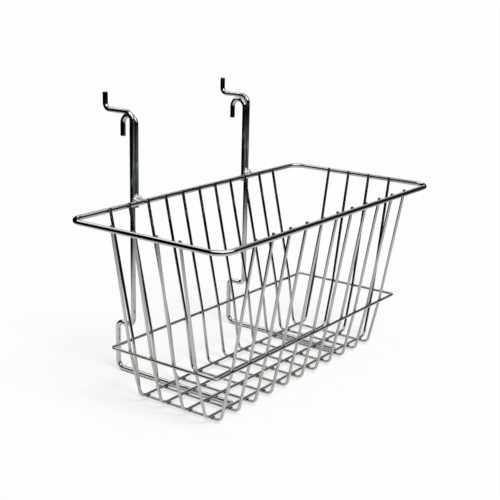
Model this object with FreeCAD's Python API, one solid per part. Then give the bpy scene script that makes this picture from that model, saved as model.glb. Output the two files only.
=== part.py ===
"""Welded wire shelf basket with a pair of hooks on its back for a wall panel.

X runs left to right, +Y is the back and +Z is up, in millimetres. The origin is on
the ground, in the middle of the space that the whole basket takes. Every bend radius
is given at the centreline of the wire.
"""
import FreeCAD, Part
import math
import os

from FreeCAD import Vector

# Wire stock
FRAME_WIRE = 4.2        # diameter of the rim and of the hooks
MESH_WIRE = 2.4         # diameter of the basket wires and of the ring
WELD_SINK = 0.25        # depth to which two crossing wires melt into each other
PAIR_SINK = 0.02        # the same for two wires that lie side by side
FRAME_END_ROUND = 0.6   # tumbled edge of a cut end, heavy wire
MESH_END_ROUND = 0.3    # the same, thin wire

# Rim
BASKET_WIDTH = 304.8    # over the rim, left to right
BASKET_DEPTH = 148.2    # over the rim, front to back
BASKET_HEIGHT = 148.6   # from the ground to the top of the rim
RIM_BEND = 12.0

# Basket wires: cross wires run front to back, long wires left to right on top of them
CROSS_COUNT = 11
LONG_COUNT = 4
CROSS_MARGIN = 7.94     # from a side edge of the floor to the nearest cross wire
LONG_MARGIN = 8.35      # from the front or back edge of the floor to the nearest long wire
TIP_RISE = 2.4          # wire ends above the middle of the rim
CROSS_BEND = 5.0        # cross wires, at the edges of the floor
LONG_BEND = 7.0         # long wires, at the edges of the floor
KINK_BEND = 90.0        # slight bend of both kinds where the ring holds them

# How far the walls come in below the rim
RING_HEIGHT = 45.9      # from the ground to the middle of the ring
FRONT_INSET_RING = 17.7
FRONT_INSET_FLOOR = 27.4
BACK_INSET_RING = 22.7
BACK_INSET_FLOOR = 29.5
SIDE_INSET_RING = 18.8
SIDE_INSET_FLOOR = 30.5

# Ring
RING_BEND = 3.0

# Wall hooks: one wire each from the upturned tip down to the runner under the floor
HOOK_BAY_COUNT = 4      # cross wires from the middle one out to the bay with a hook
HOOK_RISE = 72.5        # from the middle of the rim to the arm of the hook
HOOK_REACH = 28.6       # from the upright back to the upturned tip
TIP_HEIGHT = 13.4       # from the arm to the end of the tip
TIP_BEND = 4.8
ARM_BEND = 6.8
STEP_HEIGHT = 42.7      # from the ground to the step in the upright
STEP_REACH = 17.2       # how far the step goes back
STEP_BEND = 5.5
RUNNER_BEND = 6.0
RUNNER_SHORT = 6.0      # from the front long wire back to the end of the runner

# Grid hooks: a short wire beside each upright, arched over the top wire of a grid panel
GRID_GAP = 9.4          # clear width inside the arch
GRID_RISE = 69.0        # from the middle of the rim to the top of the arch
GRID_LEG = 10.4         # straight stretch of the free leg
GRID_STUB = 4.7         # from the middle of the rim down to the lower end

# Weld bead between the rim and the two uprights
WELD_WIDTH = 9.6
WELD_HEIGHT = 7.0
WELD_DEPTH = 4.8
WELD_LIFT = 0.3         # its middle above the top of the rim
WELD_CLEAR = 0.6        # it ends this far in front of the middle of the uprights

# Levels
rim_z = BASKET_HEIGHT - FRAME_WIRE / 2
runner_z = FRAME_WIRE / 2
long_z = FRAME_WIRE - WELD_SINK + MESH_WIRE / 2
cross_z = long_z - MESH_WIRE + WELD_SINK

# Distances from the middle of the rim
rim_x = BASKET_WIDTH / 2 - FRAME_WIRE / 2
rim_y = BASKET_DEPTH / 2 - FRAME_WIRE / 2
rim_to_mesh = FRAME_WIRE / 2 + MESH_WIRE / 2 - WELD_SINK
wall_x = rim_x - rim_to_mesh
wall_y = rim_y - rim_to_mesh
floor_x = wall_x - SIDE_INSET_FLOOR
front_floor_y = -wall_y + FRONT_INSET_FLOOR
back_floor_y = wall_y - BACK_INSET_FLOOR
first_cross_x = -floor_x + CROSS_MARGIN
cross_pitch = -2 * first_cross_x / (CROSS_COUNT - 1)
first_long_y = front_floor_y + LONG_MARGIN
long_pitch = (back_floor_y - LONG_MARGIN - first_long_y) / (LONG_COUNT - 1)
hook_x = (HOOK_BAY_COUNT - 0.5) * cross_pitch
hook_y = rim_y + FRAME_WIRE - WELD_SINK
tip_y = hook_y + HOOK_REACH

# The middle of the whole basket, measured from the middle of the rim
origin_y = (tip_y + FRAME_WIRE / 2 - BASKET_DEPTH / 2) / 2

SAME_POINT = 1e-6       # points closer together than this are one point


def bent_wire(corners, bends, diameter):
    """Round wire along straight runs, with one tangent bend at each inner corner."""
    edges = []
    start = corners[0]
    for before, corner, after, bend in zip(corners, corners[1:], corners[2:], bends):
        back = (before - corner).normalize()
        ahead = (after - corner).normalize()
        half_turn = (math.pi - back.getAngle(ahead)) / 2
        setback = bend * math.tan(half_turn)
        bisector = (back + ahead).normalize()
        bend_start = corner + back * setback
        bend_middle = corner + bisector * (bend / math.cos(half_turn) - bend)
        bend_end = corner + ahead * setback
        if not start.isEqual(bend_start, SAME_POINT):
            edges.append(Part.LineSegment(start, bend_start).toShape())
        edges.append(Part.Arc(bend_start, bend_middle, bend_end).toShape())
        start = bend_end
    edges.append(Part.LineSegment(start, corners[-1]).toShape())
    section = Part.makeCircle(diameter / 2, corners[0], corners[1] - corners[0])
    return Part.Wire(edges).makePipeShell([Part.Wire(section)], True, False)


def cut_wire(corners, bends, diameter, end_round):
    """Bent wire with open ends, whose cut edges are rounded."""
    wire = bent_wire(corners, bends, diameter)
    cuts = [face for face in wire.Faces if isinstance(face.Surface, Part.Plane)]
    return wire.makeFillet(end_round, [edge for cut in cuts for edge in cut.Edges])


def hoop(left, right, front, back, height, bend, diameter):
    """Closed rectangle of wire with round corners, joined in the middle of its back."""
    joint = Vector((left + right) / 2, back, height)
    corners = [
        joint,
        Vector(right, back, height),
        Vector(right, front, height),
        Vector(left, front, height),
        Vector(left, back, height),
        joint,
    ]
    return bent_wire(corners, [bend] * 4, diameter)


def wire_end(ring_point, rim_point):
    """The end of a basket wire, a little further up the line from the ring to the rim."""
    run = rim_point - ring_point
    return rim_point + run * (TIP_RISE / run.z)


def top_rim():
    return hoop(-rim_x, rim_x, -rim_y, rim_y, rim_z, RIM_BEND, FRAME_WIRE)


def middle_ring():
    """Ring that holds the walls together, around the outside of all basket wires."""
    outside = MESH_WIRE - WELD_SINK
    side = wall_x - SIDE_INSET_RING + outside
    front = -wall_y + FRONT_INSET_RING - outside
    back = wall_y - BACK_INSET_RING + outside
    return hoop(-side, side, front, back, RING_HEIGHT, RING_BEND, MESH_WIRE)


def cross_wire(x):
    """U of wire from the front of the rim under the floor to the back of the rim."""
    front_ring = Vector(x, -wall_y + FRONT_INSET_RING, RING_HEIGHT)
    back_ring = Vector(x, wall_y - BACK_INSET_RING, RING_HEIGHT)
    corners = [
        wire_end(front_ring, Vector(x, -wall_y, rim_z)),
        front_ring,
        Vector(x, front_floor_y, cross_z),
        Vector(x, back_floor_y, cross_z),
        back_ring,
        wire_end(back_ring, Vector(x, wall_y, rim_z)),
    ]
    bends = [KINK_BEND, CROSS_BEND, CROSS_BEND, KINK_BEND]
    return cut_wire(corners, bends, MESH_WIRE, MESH_END_ROUND)


def long_wire(y):
    """U of wire from the left of the rim over the cross wires to the right of the rim."""
    left_ring = Vector(-wall_x + SIDE_INSET_RING, y, RING_HEIGHT)
    right_ring = Vector(wall_x - SIDE_INSET_RING, y, RING_HEIGHT)
    corners = [
        wire_end(left_ring, Vector(-wall_x, y, rim_z)),
        left_ring,
        Vector(-floor_x, y, long_z),
        Vector(floor_x, y, long_z),
        right_ring,
        wire_end(right_ring, Vector(wall_x, y, rim_z)),
    ]
    bends = [KINK_BEND, LONG_BEND, LONG_BEND, KINK_BEND]
    return cut_wire(corners, bends, MESH_WIRE, MESH_END_ROUND)


def wall_hook(x):
    """Tip, arm, upright, step, lower upright and runner, all bent from one wire."""
    arm_z = rim_z + HOOK_RISE
    lower_y = hook_y + STEP_REACH
    corners = [
        Vector(x, tip_y, arm_z + TIP_HEIGHT),
        Vector(x, tip_y, arm_z),
        Vector(x, hook_y, arm_z),
        Vector(x, hook_y, STEP_HEIGHT),
        Vector(x, lower_y, STEP_HEIGHT),
        Vector(x, lower_y, runner_z),
        Vector(x, first_long_y + RUNNER_SHORT, runner_z),
    ]
    bends = [TIP_BEND, ARM_BEND, STEP_BEND, STEP_BEND, RUNNER_BEND]
    return cut_wire(corners, bends, FRAME_WIRE, FRAME_END_ROUND)


def grid_hook(x):
    """Short wire welded to the rim beside an upright, with its top arched to the back."""
    leg_y = hook_y + GRID_GAP + FRAME_WIRE
    arch_bend = (leg_y - hook_y) / 2
    arch_z = rim_z + GRID_RISE
    corners = [
        Vector(x, hook_y, rim_z - GRID_STUB),
        Vector(x, hook_y, arch_z),
        Vector(x, leg_y, arch_z),
        Vector(x, leg_y, arch_z - arch_bend - GRID_LEG),
    ]
    return cut_wire(corners, [arch_bend, arch_bend], FRAME_WIRE, FRAME_END_ROUND)


def hook_weld(x, wires):
    """Bead in the corner between the top of the rim and the front of the uprights."""
    size = FreeCAD.Matrix()
    size.scale(WELD_WIDTH / 2, WELD_DEPTH / 2, WELD_HEIGHT / 2)
    middle = Vector(x, hook_y - WELD_CLEAR - WELD_DEPTH / 2, BASKET_HEIGHT + WELD_LIFT)
    bead = Part.makeSphere(1).transformGeometry(size).translated(middle)
    return bead.cut(wires)


def all_nodes():
    """Every piece of the basket by name, measured from the middle of the rim."""
    nodes = {"top_rim": top_rim(), "middle_ring": middle_ring()}
    for number in range(CROSS_COUNT):
        nodes[f"cross_wire_{number + 1:02d}"] = cross_wire(first_cross_x + number * cross_pitch)
    for number in range(LONG_COUNT):
        nodes[f"long_wire_{number + 1}"] = long_wire(first_long_y + number * long_pitch)
    for side, outward in (("left", -1), ("right", 1)):
        pair_x = outward * (hook_x - FRAME_WIRE + PAIR_SINK)
        outer = wall_hook(outward * hook_x)
        inner = grid_hook(pair_x)
        nodes[f"{side}_wall_hook"] = outer
        nodes[f"{side}_grid_hook"] = inner
        weld_x = (outward * hook_x + pair_x) / 2
        nodes[f"{side}_hook_weld"] = hook_weld(weld_x, [nodes["top_rim"], outer, inner])
    return nodes


os.makedirs("parts", exist_ok=True)
for name, shape in all_nodes().items():
    shape.translate(Vector(0, -origin_y, 0))
    shape.exportStep(f"parts/{name}.step")
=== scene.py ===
import math

import bmesh
import bpy
from mathutils import Matrix, Vector


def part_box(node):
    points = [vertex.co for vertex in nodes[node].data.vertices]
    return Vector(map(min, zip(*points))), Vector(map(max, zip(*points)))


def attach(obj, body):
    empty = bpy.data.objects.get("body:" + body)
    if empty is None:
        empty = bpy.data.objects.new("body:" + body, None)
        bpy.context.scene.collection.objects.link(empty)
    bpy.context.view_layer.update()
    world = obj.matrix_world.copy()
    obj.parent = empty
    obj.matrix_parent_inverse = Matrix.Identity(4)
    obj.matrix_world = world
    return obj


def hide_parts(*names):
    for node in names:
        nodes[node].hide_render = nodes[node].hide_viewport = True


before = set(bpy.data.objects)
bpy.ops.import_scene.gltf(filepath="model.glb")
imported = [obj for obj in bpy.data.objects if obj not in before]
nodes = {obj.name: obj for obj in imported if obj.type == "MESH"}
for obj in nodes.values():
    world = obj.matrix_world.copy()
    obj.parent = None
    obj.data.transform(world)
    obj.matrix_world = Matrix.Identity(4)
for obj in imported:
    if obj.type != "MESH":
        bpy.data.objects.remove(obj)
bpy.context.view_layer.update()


# ---------------------------------------------------------------------------
# Rim. One length of heavy drawn steel wire, bent to a rectangle with round
# corners and butt-welded at its back. The finished basket is plated with
# nickel and bright chrome, which leaves a faint waviness over the steel.
# ---------------------------------------------------------------------------

RIM_PLATE = (0.50, 0.52, 0.50, 1)
RIM_STAIN = (0.44, 0.42, 0.36, 1)
CLOUD_SCALE = 22.0          # noise scale of the clouding, in patches about 45 mm long
CLOUD_EDGE = (0.45, 0.72)   # values of the noise between which a patch fades in
PEEL_SCALE = 420.0          # ripples of the plating, a few millimetres long
PEEL_DEPTH = 0.00012
GRIT_SCALE = 2600.0         # fine grit under the plating
GRIT_DEPTH = 0.00003
CUT_STEEL = (0.060, 0.055, 0.050, 1)    # the sheared ends, where the plating is thin
CUT_ROUGHNESS = 0.4
NO_CUT = 10.0               # a height above the whole basket
NODE_SPACING = 220          # between the nodes of a tree, which stand in a row
FIRST_COLOUR, SECOND_COLOUR, MIXED_COLOUR = 6, 7, 2     # the colour sockets of a Mix node


def set_input(tree, socket, value):
    """Links an input to the socket given, or gives it a plain value."""
    if isinstance(value, bpy.types.NodeSocket):
        tree.links.new(value, socket)
    else:
        socket.default_value = value


def new_node(tree, kind, *in_order, **by_name):
    """One node of a tree, with its first inputs in order, and fields and other inputs by name."""
    node = tree.nodes.new(kind)
    node.location.x = NODE_SPACING * len(tree.nodes)
    for name, value in by_name.items():
        label = name.replace("_", " ")
        if label in node.inputs:
            set_input(tree, node.inputs[label], value)
        else:
            setattr(node, name, value)
    for socket, value in zip(node.inputs, in_order):
        set_input(tree, socket, value)
    return node


def maths(tree, operation, *values):
    """The result of one sum, on sockets or plain numbers."""
    return new_node(tree, "ShaderNodeMath", *values, operation=operation).outputs["Value"]


def mixed_colour(tree, share, first, second):
    """Colour between the first one and the second one."""
    mix = new_node(tree, "ShaderNodeMix", data_type="RGBA", Factor=share)
    set_input(tree, mix.inputs[FIRST_COLOUR], first)
    set_input(tree, mix.inputs[SECOND_COLOUR], second)
    return mix.outputs[MIXED_COLOUR]


def plated_skin():
    """Shader group: colour, roughness and relief of bright plating over drawn wire."""
    tree = bpy.data.node_groups.new("Plated skin", "ShaderNodeTree")
    sockets = tree.interface
    for name, kind, value in (
        ("Plate", "NodeSocketColor", RIM_PLATE),
        ("Stain", "NodeSocketColor", RIM_STAIN),
        ("Stain amount", "NodeSocketFloat", 0.4),
        ("Polish", "NodeSocketFloat", 0.05),
        ("Haze", "NodeSocketFloat", 0.10),
        ("Peel", "NodeSocketFloat", 0.25),
        ("Grit", "NodeSocketFloat", 0.10),
        ("Patch scale", "NodeSocketFloat", CLOUD_SCALE),
        ("Cut height", "NodeSocketFloat", NO_CUT),
    ):
        sockets.new_socket(name, in_out="INPUT", socket_type=kind).default_value = value
    sockets.new_socket("Color", in_out="OUTPUT", socket_type="NodeSocketColor")
    sockets.new_socket("Roughness", in_out="OUTPUT", socket_type="NodeSocketFloat")
    sockets.new_socket("Normal", in_out="OUTPUT", socket_type="NodeSocketVector")
    given = new_node(tree, "NodeGroupInput").outputs
    where = new_node(tree, "ShaderNodeTexCoord").outputs["Object"]

    clouds = new_node(tree, "ShaderNodeTexNoise", Vector=where, Scale=given["Patch scale"], Detail=4.0)
    patch = new_node(tree, "ShaderNodeMapRange", clouds.outputs["Fac"], *CLOUD_EDGE).outputs["Result"]
    stained = maths(tree, "MULTIPLY", patch, given["Stain amount"])
    colour = mixed_colour(tree, stained, given["Plate"], given["Stain"])
    haze = maths(tree, "MULTIPLY_ADD", patch, given["Haze"], given["Polish"])

    height = new_node(tree, "ShaderNodeSeparateXYZ", where).outputs["Z"]
    cut = maths(tree, "GREATER_THAN", height, given["Cut height"])
    colour = mixed_colour(tree, cut, colour, CUT_STEEL)
    roughness = maths(tree, "MULTIPLY_ADD", cut, CUT_ROUGHNESS, haze)

    ripples = new_node(tree, "ShaderNodeTexNoise", Vector=where, Scale=PEEL_SCALE, Detail=2.0)
    wavy = new_node(tree, "ShaderNodeBump", Strength=given["Peel"], Distance=PEEL_DEPTH,
                    Height=ripples.outputs["Fac"])
    grit = new_node(tree, "ShaderNodeTexNoise", Vector=where, Scale=GRIT_SCALE, Detail=3.0)
    gritty = new_node(tree, "ShaderNodeBump", Strength=given["Grit"], Distance=GRIT_DEPTH,
                      Height=grit.outputs["Fac"], Normal=wavy.outputs["Normal"])
    new_node(tree, "NodeGroupOutput", Color=colour, Roughness=roughness, Normal=gritty.outputs["Normal"])
    return tree


PLATED_SKIN = plated_skin()


def plated(name, metallic=1.0, **values):
    """Chrome-plated steel: a metal shader under the plated skin, with its own values."""
    material = bpy.data.materials.new(name)
    material.use_nodes = True
    tree = material.node_tree
    metal = tree.nodes["Principled BSDF"]
    metal.inputs["Metallic"].default_value = metallic
    skin = new_node(tree, "ShaderNodeGroup", node_tree=PLATED_SKIN, **values)
    tree.links.new(skin.outputs["Color"], metal.inputs["Base Color"])
    tree.links.new(skin.outputs["Roughness"], metal.inputs["Roughness"])
    tree.links.new(skin.outputs["Normal"], metal.inputs["Normal"])
    return material


def finish_node(name, material):
    """Gives one solid of the frame its finish."""
    for slot in nodes[name].material_slots:
        slot.material = material


finish_node("top_rim", plated("Rim chrome", Plate=RIM_PLATE, Stain=RIM_STAIN))


# ---------------------------------------------------------------------------
# Middle ring. Thin wire, butt-welded to a loop and welded to the outside of
# every basket wire, so the heat has left it a little dull.
# ---------------------------------------------------------------------------

RING_PLATE = (0.47, 0.49, 0.46, 1)
RING_STAIN = (0.40, 0.37, 0.31, 1)

ring_chrome = plated("Ring chrome", Plate=RING_PLATE, Stain=RING_STAIN, Stain_amount=0.5, Haze=0.14)
finish_node("middle_ring", ring_chrome)


# ---------------------------------------------------------------------------
# Cross wires. Thin wires bent to a U from the front of the rim under the
# floor to its back. They are spot-welded to the rim, the ring and the long
# wires, and their sheared ends stand just above the rim.
# ---------------------------------------------------------------------------

CROSS_PLATE = (0.47, 0.49, 0.46, 1)
CROSS_STAIN = (0.39, 0.42, 0.38, 1)
CUT_BAND = 0.0005           # how far down a sheared end shows
BASKET_WIRE_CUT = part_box("cross_wire_01")[1].z - CUT_BAND

cross_chrome = plated("Cross wire chrome", Plate=CROSS_PLATE, Stain=CROSS_STAIN, Peel=0.3,
                      Cut_height=BASKET_WIRE_CUT)
cross_wires = sorted(name for name in nodes if name.startswith("cross_wire"))
for name in cross_wires:
    finish_node(name, cross_chrome)


# ---------------------------------------------------------------------------
# Long wires. The same thin wire, bent to a U from the left of the rim to its
# right. They lie on top of the cross wires and carry the goods.
# ---------------------------------------------------------------------------

LONG_PLATE = (0.47, 0.495, 0.465, 1)
LONG_STAIN = (0.40, 0.42, 0.38, 1)

long_chrome = plated("Long wire chrome", Plate=LONG_PLATE, Stain=LONG_STAIN, Stain_amount=0.6,
                     Cut_height=BASKET_WIRE_CUT)
long_wires = sorted(name for name in nodes if name.startswith("long_wire"))
for name in long_wires:
    finish_node(name, long_chrome)


# ---------------------------------------------------------------------------
# Wall hooks and grid hooks. Heavy wire again, two lengths side by side on
# each side of the back, welded to the rim as a pair before plating. The die
# leaves small dents where it bends their tops.
# ---------------------------------------------------------------------------

HOOK_PLATE = (0.50, 0.52, 0.50, 1)
HOOK_STAIN = (0.45, 0.42, 0.37, 1)
DENT_SCALE = 480.0          # dents about two millimetres long
DENT_DEPTH = 0.0005
DENT_REACH = (0.0070, 0.0115)       # they fade out between these distances from the bend


def ramp(tree, value, start, end, low=0.0, high=1.0):
    """A smooth change from low to high between start and end."""
    return new_node(tree, "ShaderNodeMapRange", value, start, end, low, high,
                    interpolation_type="SMOOTHSTEP").outputs["Result"]


def add_die_dents(material, bend_place):
    """Small dents round a bend, at the same place on the left and on the right."""
    tree = material.node_tree
    metal = tree.nodes["Principled BSDF"]
    where = new_node(tree, "ShaderNodeTexCoord").outputs["Object"]
    mirrored = new_node(tree, "ShaderNodeVectorMath", where, operation="ABSOLUTE")
    away = new_node(tree, "ShaderNodeVectorMath", mirrored.outputs["Vector"], bend_place, operation="DISTANCE")
    dents = new_node(tree, "ShaderNodeTexNoise", Vector=where, Scale=DENT_SCALE, Detail=1.0)
    dented = new_node(tree, "ShaderNodeBump", Distance=DENT_DEPTH, Height=dents.outputs["Fac"],
                      Strength=ramp(tree, away.outputs["Value"], *DENT_REACH, 1.0, 0.0),
                      Normal=metal.inputs["Normal"].links[0].from_socket)
    tree.links.new(dented.outputs["Normal"], metal.inputs["Normal"])


hook_low, hook_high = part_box("left_wall_hook")
grid_low, grid_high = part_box("left_grid_hook")
hook_wire = hook_high.x - hook_low.x
hook_bend = Vector((-grid_high.x + hook_wire / 2, grid_low.y + hook_wire, grid_high.z))
hook_chrome = plated("Hook chrome", Plate=HOOK_PLATE, Stain=HOOK_STAIN, Peel=0.08, Grit=0.05,
                     Cut_height=hook_high.z - CUT_BAND)
add_die_dents(hook_chrome, hook_bend)
for side in ("left", "right"):
    finish_node(f"{side}_wall_hook", hook_chrome)
    finish_node(f"{side}_grid_hook", hook_chrome)


# ---------------------------------------------------------------------------
# Spot welds. Where two wires cross they are pressed together under current,
# and a little steel squeezes out round the joint. A row is one line of them.
# ---------------------------------------------------------------------------

WELD_PLATE_AND_SHADE = (0.035, 0.035, 0.032, 1)   # dark, as plating takes poorly over a burnt joint, and darker still as painted shade of the crevice where the wires meet
WELD_STAIN = (0.012, 0.010, 0.009, 1)
FLOOR_WELD = Vector((0.0023, 0.0023, 0.0009))       # half sizes
FRONT_WELD = Vector((0.0015, 0.0006, 0.0015))       # on the front and the back of a loop
SIDE_WELD = Vector((0.0006, 0.0015, 0.0015))        # on its left and right
FLOOR_WELD_LIFT = 0.0001    # above the underside of the long wires
WELD_TURN = 0.3             # each weld is turned by up to this, in radians
WELD_SPREAD = 0.15          # and is larger or smaller by up to this share
SQUEEZE = 0.35              # unevenness of the squeezed-out steel, as a share of its size
SQUEEZE_SCALE = 900.0       # bulges about a millimetre long
NOISE_MIDDLE = (0.5, 0.5, 0.5)


def spot_weld_tree():
    """Geometry tree: a row of small squeezed-out welds, no two of them alike."""
    tree = bpy.data.node_groups.new("Spot weld row", "GeometryNodeTree")
    for name, kind in (
        ("Count", "NodeSocketInt"),
        ("First", "NodeSocketVector"),
        ("Step", "NodeSocketVector"),
        ("Size", "NodeSocketVector"),
        ("Seed", "NodeSocketInt"),
        ("Metal", "NodeSocketMaterial"),
    ):
        tree.interface.new_socket(name, in_out="INPUT", socket_type=kind)
    tree.interface.new_socket("Geometry", in_out="OUTPUT", socket_type="NodeSocketGeometry")
    given = new_node(tree, "NodeGroupInput").outputs
    row = new_node(tree, "GeometryNodeMeshLine", mode="OFFSET", Count=given["Count"],
                   Start_Location=given["First"], Offset=given["Step"])
    drop = new_node(tree, "GeometryNodeMeshIcoSphere", Radius=1.0, Subdivisions=2)
    turn = new_node(tree, "FunctionNodeRandomValue", (-WELD_TURN,) * 3, (WELD_TURN,) * 3,
                    data_type="FLOAT_VECTOR", Seed=given["Seed"])
    growth = new_node(tree, "FunctionNodeRandomValue", (1 - WELD_SPREAD,) * 3, (1 + WELD_SPREAD,) * 3,
                      data_type="FLOAT_VECTOR", Seed=given["Seed"])
    size = new_node(tree, "ShaderNodeVectorMath", growth.outputs[0], given["Size"], operation="MULTIPLY")
    placed = new_node(tree, "GeometryNodeInstanceOnPoints", Points=row.outputs["Mesh"],
                      Instance=drop.outputs["Mesh"], Rotation=turn.outputs[0], Scale=size.outputs["Vector"])
    real = new_node(tree, "GeometryNodeRealizeInstances", placed.outputs["Instances"])
    bulges = new_node(tree, "ShaderNodeTexNoise", Scale=SQUEEZE_SCALE, Detail=1.0)
    centred = new_node(tree, "ShaderNodeVectorMath", bulges.outputs["Color"], NOISE_MIDDLE,
                       operation="SUBTRACT")
    bulge = new_node(tree, "ShaderNodeVectorMath", centred.outputs["Vector"], given["Size"],
                     operation="MULTIPLY")
    offset = new_node(tree, "ShaderNodeVectorMath", bulge.outputs["Vector"], operation="SCALE",
                      Scale=2 * SQUEEZE)
    uneven = new_node(tree, "GeometryNodeSetPosition", real.outputs["Geometry"],
                      Offset=offset.outputs["Vector"])
    smooth = new_node(tree, "GeometryNodeSetShadeSmooth", uneven.outputs["Geometry"])
    coated = new_node(tree, "GeometryNodeSetMaterial", smooth.outputs["Geometry"], Material=given["Metal"])
    new_node(tree, "NodeGroupOutput", coated.outputs["Geometry"])
    return tree


SPOT_WELD_TREE = spot_weld_tree()
# The welds' near-black finish is partly dark burnt joints and partly painted shade of the crevice round each
# joint.
weld_chrome = plated("Spot weld chrome", Plate=WELD_PLATE_AND_SHADE, Stain=WELD_STAIN, Stain_amount=0.8,
                     Polish=0.20, Haze=0.2, Peel=0.5, Grit=0.4)


def grown_mesh(name, tree, **values):
    """The plain mesh that a geometry tree makes with these inputs."""
    carrier = bpy.data.objects.new(name, bpy.data.meshes.new(name))
    bpy.context.scene.collection.objects.link(carrier)
    modifier = carrier.modifiers.new("Tree", "NODES")
    modifier.node_group = tree
    for item in tree.interface.items_tree:
        if item.in_out == "INPUT":
            modifier[item.identifier] = values[item.name]
    bpy.context.view_layer.update()
    depsgraph = bpy.context.evaluated_depsgraph_get()
    mesh = bpy.data.meshes.new_from_object(carrier.evaluated_get(depsgraph))
    bpy.data.objects.remove(carrier)
    return mesh


def weld_row(first, last, count, size, seed):
    """The mesh of one row of spot welds, from the first to the last of them."""
    return grown_mesh("Weld row", SPOT_WELD_TREE, Count=count, First=first,
                      Step=(last - first) / (count - 1), Size=size, Seed=seed, Metal=weld_chrome)


def weld_piece(name, rows):
    """One piece at the origin out of several rows of welds."""
    shape = bmesh.new()
    for row in rows:
        shape.from_mesh(row)
    for face in shape.faces:
        face.material_index = 0
    whole = bpy.data.meshes.new(name)
    shape.to_mesh(whole)
    shape.free()
    whole.materials.append(weld_chrome)
    piece = bpy.data.objects.new(name, whole)
    bpy.context.scene.collection.objects.link(piece)
    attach(piece, "root")


def middle(name):
    """The middle of the box of one solid of the frame."""
    low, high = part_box(name)
    return (low + high) / 2


first_cross, last_cross = middle(cross_wires[0]).x, middle(cross_wires[-1]).x
first_long, last_long = middle(long_wires[0]).y, middle(long_wires[-1]).y


def floor_row(long_wire, seed):
    """Row of welds between one long wire and the cross wires under it."""
    y = middle(long_wire).y
    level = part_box(long_wire)[0].z + FLOOR_WELD_LIFT
    return weld_row(Vector((first_cross, y, level)), Vector((last_cross, y, level)),
                    len(cross_wires), FLOOR_WELD, seed)


def wall_rows(loop, seed):
    """Rows of welds where the four sides of the rim or the ring touch the basket wires."""
    low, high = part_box(loop)
    wire = high.z - low.z
    level = (low.z + high.z) / 2
    rows = []
    for y in (low.y + wire, high.y - wire):
        rows.append(weld_row(Vector((first_cross, y, level)), Vector((last_cross, y, level)),
                             len(cross_wires), FRONT_WELD, seed + len(rows)))
    for x in (low.x + wire, high.x - wire):
        rows.append(weld_row(Vector((x, first_long, level)), Vector((x, last_long, level)),
                             len(long_wires), SIDE_WELD, seed + len(rows)))
    return rows


weld_piece("floor_spot_welds", [floor_row(name, seed) for seed, name in enumerate(long_wires)])
weld_piece("ring_spot_welds", wall_rows("middle_ring", seed=10))
weld_piece("rim_spot_welds", wall_rows("top_rim", seed=20))


# ---------------------------------------------------------------------------
# Hook welds. The one joint made by hand: an arc-welded bead in the corner
# between the rim and each pair of uprights, full of ripples and grit, with a
# low tail along the rim where the welder drew the arc away.
# ---------------------------------------------------------------------------

# The bead's near-white, part-matt base is partly frosted plating and partly a painted sheen standing in for
# the glints of its ripples.
BEAD_PLATE_AND_SHEEN = (0.95, 0.95, 0.93, 1)
BEAD_STAIN = (0.03, 0.03, 0.028, 1)
SPECK_SCALE = 620.0         # noise scale of the dark specks
BEAD_GROWTH = 1.02          # the real bead spreads a little past its smooth core
BEAD_LUMPS = (              # place and size of each lump, as shares of the bead's half size
    ((0.0, 0.0, 0.0), 1.0),
    ((0.5, 0.0, -0.3), 0.75),
    ((-0.4, 0.0, -0.35), 0.7),
    ((0.0, 0.2, 0.3), 0.65),
    ((0.0, 0.3, 0.75), 0.45),
)
TAIL_LUMPS = 4
TAIL_LENGTH = 0.0045
TAIL_FORWARD = 0.0002
TAIL_DROP = 0.55            # below the middle of the bead, as a share of its half height
TAIL_LUMP = Vector((0.0018, 0.0016, 0.0014))        # half sizes
TAIL_HEIGHTS = (1.1, 0.6)   # the height of its lumps falls from the first share to the second
BEAD_VOXEL = 0.00028        # detail of the skin over the lumps
RIPPLE_SIZE = 0.0016
RIPPLE_HEIGHT = 0.0012
RIPPLE_LEVEL = 0.35         # share of their height that lies below the smooth skin

# Metallic 0.6 lets the near-white base show through as painted sheen under any light.
bead_chrome = plated("Hook bead chrome", metallic=0.6, Plate=BEAD_PLATE_AND_SHEEN, Stain=BEAD_STAIN,
                     Stain_amount=1.5, Polish=0.16, Haze=0.15, Peel=0.9, Grit=0.8,
                     Patch_scale=SPECK_SCALE)


def lump(shape, centre, half_size):
    """Adds one round lump to the bead."""
    place = Matrix.Translation(centre) @ Matrix.Diagonal((*half_size, 1))
    bmesh.ops.create_icosphere(shape, subdivisions=3, radius=1, matrix=place)


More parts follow.
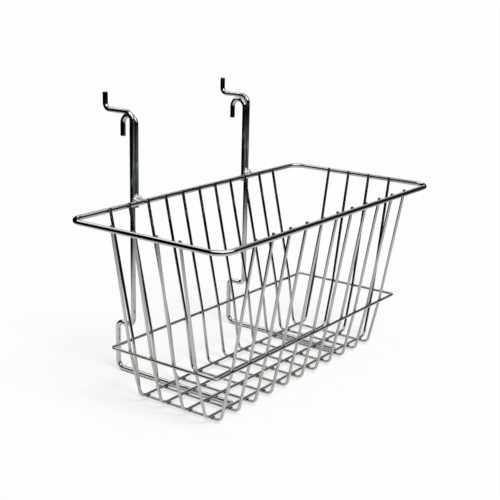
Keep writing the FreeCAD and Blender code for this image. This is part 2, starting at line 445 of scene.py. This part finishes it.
def hook_bead(side):
    """Lumps run together under one skin, which the ripples then roughen."""
    low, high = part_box(f"{side}_hook_weld")
    centre = (low + high) / 2
    size = (high - low) / 2 * BEAD_GROWTH
    shape = bmesh.new()
    for place, share in BEAD_LUMPS:
        lump(shape, centre + Vector(place) * size, size * share)
    for step in range(1, TAIL_LUMPS + 1):
        share = step / TAIL_LUMPS
        drift = Vector((size.x + share * TAIL_LENGTH, -TAIL_FORWARD, -size.z * TAIL_DROP))
        height = TAIL_HEIGHTS[0] + (TAIL_HEIGHTS[1] - TAIL_HEIGHTS[0]) * share
        lump(shape, centre + drift, TAIL_LUMP * Vector((1, 1, height)))
    mesh = bpy.data.meshes.new(f"{side}_hook_bead")
    shape.to_mesh(mesh)
    shape.free()
    bead = bpy.data.objects.new(f"{side}_hook_bead", mesh)
    bpy.context.scene.collection.objects.link(bead)
    skin = bead.modifiers.new("Skin", "REMESH")
    skin.mode = "VOXEL"
    skin.voxel_size = BEAD_VOXEL
    skin.use_smooth_shade = True
    ripples = bpy.data.textures.new(f"{side} bead ripples", "VORONOI")
    ripples.noise_scale = RIPPLE_SIZE
    rippled = bead.modifiers.new("Ripples", "DISPLACE")
    rippled.texture = ripples
    rippled.texture_coords = "LOCAL"
    rippled.strength = RIPPLE_HEIGHT
    rippled.mid_level = RIPPLE_LEVEL
    depsgraph = bpy.context.evaluated_depsgraph_get()
    done = bpy.data.meshes.new_from_object(bead.evaluated_get(depsgraph))
    bead.modifiers.clear()
    bead.data = done
    done.materials.clear()
    done.materials.append(bead_chrome)
    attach(bead, "root")
    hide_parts(f"{side}_hook_weld")


for side in ("left", "right"):
    hook_bead(side)


# ---------------------------------------------------------------------------
# White sheet. A large sheet of matt paper lies under the basket. It glows for
# the camera and in the metal, except where a wire all but touches it.
# ---------------------------------------------------------------------------

SHEET_COLOUR = (0.98, 0.98, 0.98, 1)
SHEET_GLOW = 0.62           # share of the sheet's white that is its own glow
SHEET_HALF = 15.0
CONTACT_REACH = 0.002       # how near a wire darkens the sheet
CONTACT_EDGE = (0.15, 1.0)  # the glow comes back as this much of the sky opens up


def flat_sheet(name, sides, ends, height, material):
    """A level rectangle of the studio, from left to right and from front to back."""
    (left, right), (front, back) = sides, ends
    corners = [(left, front, height), (right, front, height), (right, back, height), (left, back, height)]
    mesh = bpy.data.meshes.new(name)
    mesh.from_pydata(corners, [], [(0, 1, 2, 3)])
    mesh.materials.append(material)
    sheet = bpy.data.objects.new(name, mesh)
    bpy.context.scene.collection.objects.link(sheet)
    return sheet


def glowing(name):
    """A material that only glows: itself, its tree, the place on it and the glow."""
    material = bpy.data.materials.new(name)
    material.use_nodes = True
    tree = material.node_tree
    tree.nodes.remove(tree.nodes["Principled BSDF"])
    place = new_node(tree, "ShaderNodeTexCoord").outputs["Object"]
    glow = new_node(tree, "ShaderNodeEmission", Strength=1.0)
    tree.links.new(glow.outputs["Emission"], tree.nodes["Material Output"].inputs["Surface"])
    return material, tree, place, glow


def glows_over(tree, glow, under, share):
    """Lays the glow over another shader, by share."""
    blend = new_node(tree, "ShaderNodeMixShader", share, under, glow.outputs["Emission"])
    tree.links.new(blend.outputs["Shader"], tree.nodes["Material Output"].inputs["Surface"])


def seen_or_mirrored(tree):
    """1 for what the camera sees, straight or in the metal, and 0 for soft light."""
    ray = new_node(tree, "ShaderNodeLightPath").outputs
    return maths(tree, "MAXIMUM", ray["Is Camera Ray"], ray["Is Glossy Ray"])


paper, tree, place, glow = glowing("White sheet")
lit = new_node(tree, "ShaderNodeBsdfDiffuse", SHEET_COLOUR)
near = new_node(tree, "ShaderNodeAmbientOcclusion", Distance=CONTACT_REACH)
own_glow = ramp(tree, near.outputs["AO"], *CONTACT_EDGE, 0.0, SHEET_GLOW)
glows_over(tree, glow, lit.outputs["BSDF"], maths(tree, "MULTIPLY", seen_or_mirrored(tree), own_glow))
flat_sheet("ground_sheet", (-SHEET_HALF, SHEET_HALF), (-SHEET_HALF, SHEET_HALF), 0.0, paper)


# ---------------------------------------------------------------------------
# Dark cloths. Bright chrome needs something dark to mirror, so a dark cloth
# lies round the basket and a dark dome stands over it, for the metal alone.
# Near the basket the cloth is open, and the metal mirrors a pool of white.
# ---------------------------------------------------------------------------

DOME_RADIUS = 3.0
CLOTH_LIFT = 0.0004         # of the floor cloth, above the sheet
BLACK_CLOTH = (0.002, 0.002, 0.0025, 1)
FLOOR_GLOW = (0.150, 0.175, 0.158, 1)   # where the floor cloth catches a little light
WALL_GLOW = (0.012, 0.016, 0.020, 1)    # the same for the dome
GLOW_SIDE = (0.50, -0.87, 0.0)          # the side on which they catch it, right of the front
GLOW_EDGE = (0.0, 0.95)     # from a right angle to that side, to almost straight at it
GLOW_REACH = (0.9, 1.5)     # the floor cloth falls back to black between these distances
POOL_MIDDLE = (0.0, -0.03, 0.0)
POOL_EDGE = (0.22, 0.50)    # the pool ends between these distances from its middle
VEIL_EDGE = (-0.28, 0.10)   # from left to right, the cloth veils the pool a little
VEIL_LEVEL = 0.15


def only_metal_sees(card):
    """Keeps a card out of sight, out of the shadows and out of the soft light."""
    card.visible_camera = False
    card.visible_diffuse = False
    card.visible_shadow = False
    card.visible_transmission = False


def towards_glow(tree, place):
    """How far a place lies towards the side that catches a little light, 0 to 1."""
    direction = new_node(tree, "ShaderNodeVectorMath", place, operation="NORMALIZE")
    share = new_node(tree, "ShaderNodeVectorMath", direction.outputs["Vector"], GLOW_SIDE,
                     operation="DOT_PRODUCT")
    return ramp(tree, share.outputs["Value"], *GLOW_EDGE)


def dye(tree, glow, share, bright):
    """Gives the cloth a colour between black and a bright one."""
    set_input(tree, glow.inputs["Color"], mixed_colour(tree, share, BLACK_CLOTH, bright))


def cut_away(tree, glow, cover):
    """Leaves only the part of a card where cover is 1."""
    clear = new_node(tree, "ShaderNodeBsdfTransparent")
    glows_over(tree, glow, clear.outputs["BSDF"], cover)


floor_cloth, tree, place, glow = glowing("Floor cloth")
distance = new_node(tree, "ShaderNodeVectorMath", place, operation="LENGTH")
reach = ramp(tree, distance.outputs["Value"], *GLOW_REACH, 1.0, 0.0)
dye(tree, glow, maths(tree, "MULTIPLY", towards_glow(tree, place), reach), FLOOR_GLOW)
from_pool = new_node(tree, "ShaderNodeVectorMath", place, POOL_MIDDLE, operation="DISTANCE")
pool = ramp(tree, from_pool.outputs["Value"], *POOL_EDGE)
across = new_node(tree, "ShaderNodeSeparateXYZ", place).outputs["X"]
veil = ramp(tree, across, *VEIL_EDGE, 0.0, VEIL_LEVEL)
cut_away(tree, glow, maths(tree, "MAXIMUM", pool, veil))
only_metal_sees(flat_sheet("dark_floor_card", (-DOME_RADIUS, DOME_RADIUS), (-DOME_RADIUS, DOME_RADIUS),
                           CLOTH_LIFT, floor_cloth))

dome_cloth, tree, place, glow = glowing("Dome cloth")
dye(tree, glow, towards_glow(tree, place), WALL_GLOW)
dome_shape = bmesh.new()
bmesh.ops.create_icosphere(dome_shape, subdivisions=4, radius=DOME_RADIUS)
dome_mesh = bpy.data.meshes.new("dark_dome_card")
dome_shape.to_mesh(dome_mesh)
dome_shape.free()
dome_mesh.materials.append(dome_cloth)
dome = bpy.data.objects.new("dark_dome_card", dome_mesh)
bpy.context.scene.collection.objects.link(dome)
only_metal_sees(dome)


# ---------------------------------------------------------------------------
# Soft boxes. A wide one hangs over the basket and gives the wires their
# bright upper edges, and a key box over the camera fills their fronts. They
# light the metal alone, as the cloths darken it.
# ---------------------------------------------------------------------------

BOX_HEIGHT = 0.60
TOP_SIDES = (-0.43, 1.70)   # left and right
TOP_ENDS = (-0.25, 0.66)    # front and back
TOP_NOTCH = {"X": (-0.21, -0.20), "Y": (0.47, 0.50)}    # its left front corner is cut away
TOP_LEVEL = 1.25
TOP_EDGE = (0.12, 0.46)     # it brightens to the back between these two places
CEILING_LEVEL = 0.50        # added to it, a dimmer glow that starts further forward
CEILING_EDGE = (-0.45, 0.30)
WARM_WHITE = (1.0, 0.975, 0.955, 1)
COOL_WHITE = (0.93, 0.975, 1.0, 1)
TINT_EDGE = (-0.15, 0.55)   # warm on the left, cool on the right
KEY_LEVEL = 1.9
KEY_SIDES = (-0.62, 0.60)
KEY_ENDS = (-1.00, 0.14)
KEY_FADES = {"X": (0.10, 0.45), "Y": (0.30, 0.14)}      # how far it fades in from each edge

top_light, tree, place, glow = glowing("Top soft box")
split = new_node(tree, "ShaderNodeSeparateXYZ", place).outputs
bright = ramp(tree, split["Y"], *TOP_EDGE, 0.0, TOP_LEVEL)
ceiling = ramp(tree, split["Y"], *CEILING_EDGE, 0.0, CEILING_LEVEL)
set_input(tree, glow.inputs["Strength"], maths(tree, "ADD", bright, ceiling))
tint = mixed_colour(tree, ramp(tree, split["X"], *TINT_EDGE), WARM_WHITE, COOL_WHITE)
set_input(tree, glow.inputs["Color"], tint)
right_of_notch = ramp(tree, split["X"], *TOP_NOTCH["X"])
behind_notch = ramp(tree, split["Y"], *TOP_NOTCH["Y"])
cut_away(tree, glow, maths(tree, "MAXIMUM", right_of_notch, behind_notch))
only_metal_sees(flat_sheet("soft_box_card", TOP_SIDES, TOP_ENDS, BOX_HEIGHT, top_light))

key_light, tree, place, glow = glowing("Key soft box")
split = new_node(tree, "ShaderNodeSeparateXYZ", place).outputs
strength = KEY_LEVEL
for axis, (start, end) in (("X", KEY_SIDES), ("Y", KEY_ENDS)):
    fade_in, fade_out = KEY_FADES[axis]
    strength = maths(tree, "MULTIPLY", strength, ramp(tree, split[axis], start, start + fade_in))
    strength = maths(tree, "MULTIPLY", strength, ramp(tree, split[axis], end, end - fade_out))
set_input(tree, glow.inputs["Strength"], strength)
only_metal_sees(flat_sheet("key_box_card", KEY_SIDES, KEY_ENDS, BOX_HEIGHT, key_light))


# ---------------------------------------------------------------------------
# Lamp and room. One wide soft lamp stands in front and above, and lays the
# basket's shadow to the back. The room is pale and even, and looks white.
# ---------------------------------------------------------------------------

LAMP_LEVEL = 2.05
LAMP_BEAM = Vector((0.18, 0.56, -1.0))
LAMP_SPREAD = math.radians(22)
ROOM_COLOUR = (1, 1, 1, 1)
ROOM_LEVEL = 0.42           # as a light
WHITE_LEVEL = 1.0           # as seen

lamp_data = bpy.data.lights.new("Front lamp", "SUN")
lamp_data.energy = LAMP_LEVEL
lamp_data.angle = LAMP_SPREAD
lamp = bpy.data.objects.new("Front lamp", lamp_data)
lamp.rotation_euler = LAMP_BEAM.to_track_quat("-Z", "Y").to_euler()
bpy.context.scene.collection.objects.link(lamp)

room = bpy.data.worlds.new("Pale room")
room.use_nodes = True
tree = room.node_tree
air = tree.nodes["Background"]
air.inputs["Color"].default_value = ROOM_COLOUR
level = new_node(tree, "ShaderNodeMapRange", seen_or_mirrored(tree), To_Min=ROOM_LEVEL, To_Max=WHITE_LEVEL)
tree.links.new(level.outputs["Result"], air.inputs["Strength"])
bpy.context.scene.world = room
bpy.context.scene.view_settings.view_transform = "Standard"


# ---------------------------------------------------------------------------
# Camera. It stands to the left of the front, a little above the rim.
# ---------------------------------------------------------------------------

CAMERA_TURN = math.radians(-54.117)
CAMERA_RISE = math.radians(15.561)
CAMERA_ROLL = math.radians(1.407)
CAMERA_PLACE = Vector((-0.66915, -0.48618, 0.33261))
LENS = 73.94

backward = Vector((math.sin(CAMERA_TURN) * math.cos(CAMERA_RISE),
                   -math.cos(CAMERA_TURN) * math.cos(CAMERA_RISE),
                   math.sin(CAMERA_RISE)))
level_right = (-backward).cross(Vector((0, 0, 1))).normalized()
level_up = level_right.cross(-backward)
rightward = level_right * math.cos(CAMERA_ROLL) + level_up * math.sin(CAMERA_ROLL)
upward = backward.cross(rightward)
camera_data = bpy.data.cameras.new("Camera")
camera_data.lens = LENS
camera = bpy.data.objects.new("Camera", camera_data)
camera.matrix_world = (Matrix.Translation(CAMERA_PLACE)
                       @ Matrix((rightward, upward, backward)).transposed().to_4x4())
bpy.context.scene.collection.objects.link(camera)
bpy.context.scene.camera = camera
